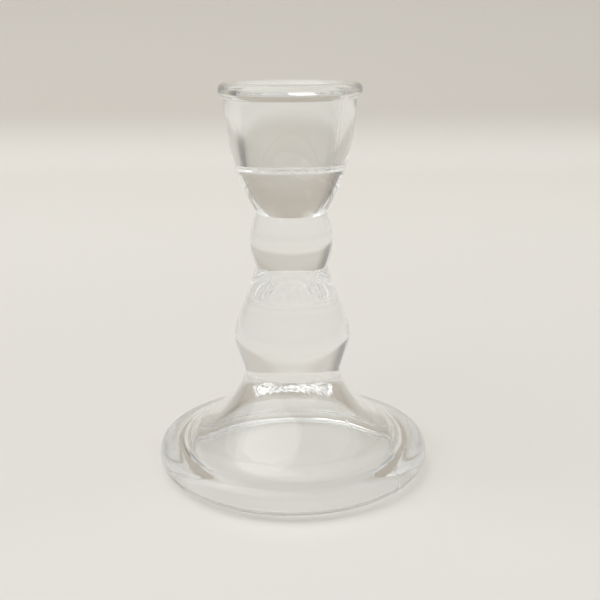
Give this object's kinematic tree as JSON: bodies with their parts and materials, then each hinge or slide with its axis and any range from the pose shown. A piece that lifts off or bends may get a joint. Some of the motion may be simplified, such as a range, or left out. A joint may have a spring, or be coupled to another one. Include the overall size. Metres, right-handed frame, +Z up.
{
  "type": "taper candlestick",
  "caption": "Low pressed-glass candlestick: a flared hollow foot, a stem with a pear knop and a ball knop, and a cup whose tapered socket holds one taper candle.",
  "frame": {"origin": "on the axis of the candlestick, in the plane of the foot's contact ring", "axes": "+Z up along the axis, from the foot to the lip; X and Y are alike, because the piece is a body of revolution"},
  "size_m": [0.0782, 0.0782, 0.11],
  "materials": {
    "clear_glass": "fire-polished clear pressed glass with a faint grey-green cast and a fine mould seam"
  },
  "bodies": {
    "root": {"foot_ring": "clear_glass", "foot_bell": "clear_glass", "pear_knop": "clear_glass", "ball_knop": "clear_glass", "socket_bowl": "clear_glass", "socket_cup": "clear_glass", "socket_lip": "clear_glass"}
  },
  "joints": []
}
